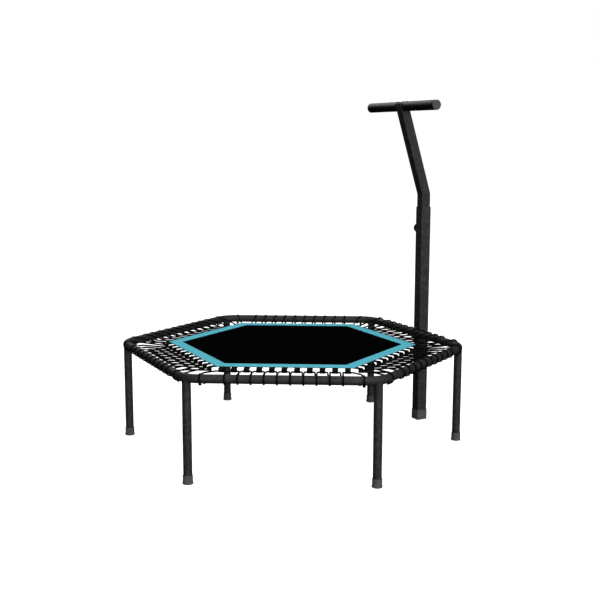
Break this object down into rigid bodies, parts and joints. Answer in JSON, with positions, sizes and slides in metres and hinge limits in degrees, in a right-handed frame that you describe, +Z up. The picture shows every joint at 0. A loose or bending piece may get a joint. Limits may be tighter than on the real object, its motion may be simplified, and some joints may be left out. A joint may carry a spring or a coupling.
{
  "type": "mini trampoline",
  "caption": "Hexagonal fitness trampoline: bungee-laced mat with a bright border on a tube frame with rubber feet, and a height-adjustable T-bar handle on a clamped post.",
  "frame": {"origin": "on the floor, under the middle of the hexagonal frame", "axes": "+Z up; +X through a corner and its leg; +Y square to two of the frame's sides; the handle's post stands at 30 degrees from +X towards +Y"},
  "size_m": [1.2766, 1.1412, 1.2623],
  "materials": {
    "frame_coat": "satin black powder coat on steel",
    "handle_coat": "satin black powder coat on steel",
    "zinc": "zinc plated",
    "black_fixings": "black oxide",
    "foot_rubber": "matt grey-black rubber",
    "black_plastic": "moulded black plastic",
    "cap_plastic": "moulded grey plastic",
    "grip_foam": "matt black foam",
    "mat_fabric": "woven black polypropylene",
    "border_fabric": "teal coated fabric",
    "tab_webbing": "black webbing",
    "bungee": "black braided bungee rope"
  },
  "bodies": {
    "frame": {"corner_elbow_1": "frame_coat", "corner_elbow_2": "frame_coat", "corner_elbow_3": "frame_coat", "corner_elbow_4": "frame_coat", "corner_elbow_5": "frame_coat", "corner_elbow_6": "frame_coat", "side_tube_1": "frame_coat", "side_tube_2": "frame_coat", "side_tube_3": "frame_coat", "side_tube_4": "frame_coat", "side_tube_5": "frame_coat", "side_tube_6": "frame_coat", "frame_screws": "black_fixings", "leg_1": "frame_coat", "leg_2": "frame_coat", "leg_3": "frame_coat", "leg_4": "frame_coat", "leg_5": "frame_coat", "leg_6": "frame_coat", "leg_plugs": "zinc", "leg_studs": "zinc", "foot_1": "foot_rubber", "foot_2": "foot_rubber", "foot_3": "foot_rubber", "foot_4": "foot_rubber", "foot_5": "foot_rubber", "foot_6": "foot_rubber", "handle_post": "frame_coat", "post_foot": "foot_rubber", "post_u_bolt": "black_fixings", "u_bolt_washers": "black_fixings", "u_bolt_nuts": "black_fixings", "clamp_boss": "frame_coat", "bungee_rope_1": "bungee", "bungee_rope_2": "bungee", "bungee_rope_3": "bungee", "bungee_rope_4": "bungee", "bungee_rope_5": "bungee", "bungee_rope_6": "bungee"},
    "mat": {"jump_mat": "mat_fabric", "mat_border": "border_fabric", "mat_tabs_1": "tab_webbing", "mat_tabs_2": "tab_webbing", "mat_tabs_3": "tab_webbing", "mat_tabs_4": "tab_webbing", "mat_tabs_5": "tab_webbing", "mat_tabs_6": "tab_webbing"},
    "handle": {"handle_stem": "handle_coat", "stem_top_cap": "black_plastic", "stem_glide": "black_plastic", "t_bar": "handle_coat", "grip_left": "grip_foam", "grip_right": "grip_foam", "bar_end_caps": "cap_plastic"},
    "clamp_screw": {"clamp_stud": "zinc"},
    "clamp_grip": {"clamp_knob": "black_plastic"}
  },
  "joints": [
    {"name": "handle_height", "type": "slide", "parent": "frame", "child": "handle", "axis": [0, 0, 1], "range_m": [-0.04, 0.16]},
    {"name": "mat_bounce", "type": "slide", "parent": "frame", "child": "mat", "axis": [0, 0, 1], "range_m": [-0.12, 0.015], "stiffness_N_per_m": 11000, "deforming": ["bungee_rope_1", "bungee_rope_2", "bungee_rope_3", "bungee_rope_4", "bungee_rope_5", "bungee_rope_6"]},
    {"name": "clamp_screw_travel", "type": "slide", "parent": "frame", "child": "clamp_screw", "axis": [-0.5, 0.866, 0], "range_m": [0, 0.00251]},
    {"name": "clamp_knob_turn", "type": "hinge", "parent": "clamp_screw", "child": "clamp_grip", "pos_m": [0.5023, 0.29, 0.772], "axis": [-0.5, 0.866, 0], "range_deg": [0, 720]}
  ],
  "couplings": [
    {"joint": "clamp_screw_travel", "follows": "clamp_knob_turn", "m_per_rad": 0.00019894}
  ]
}
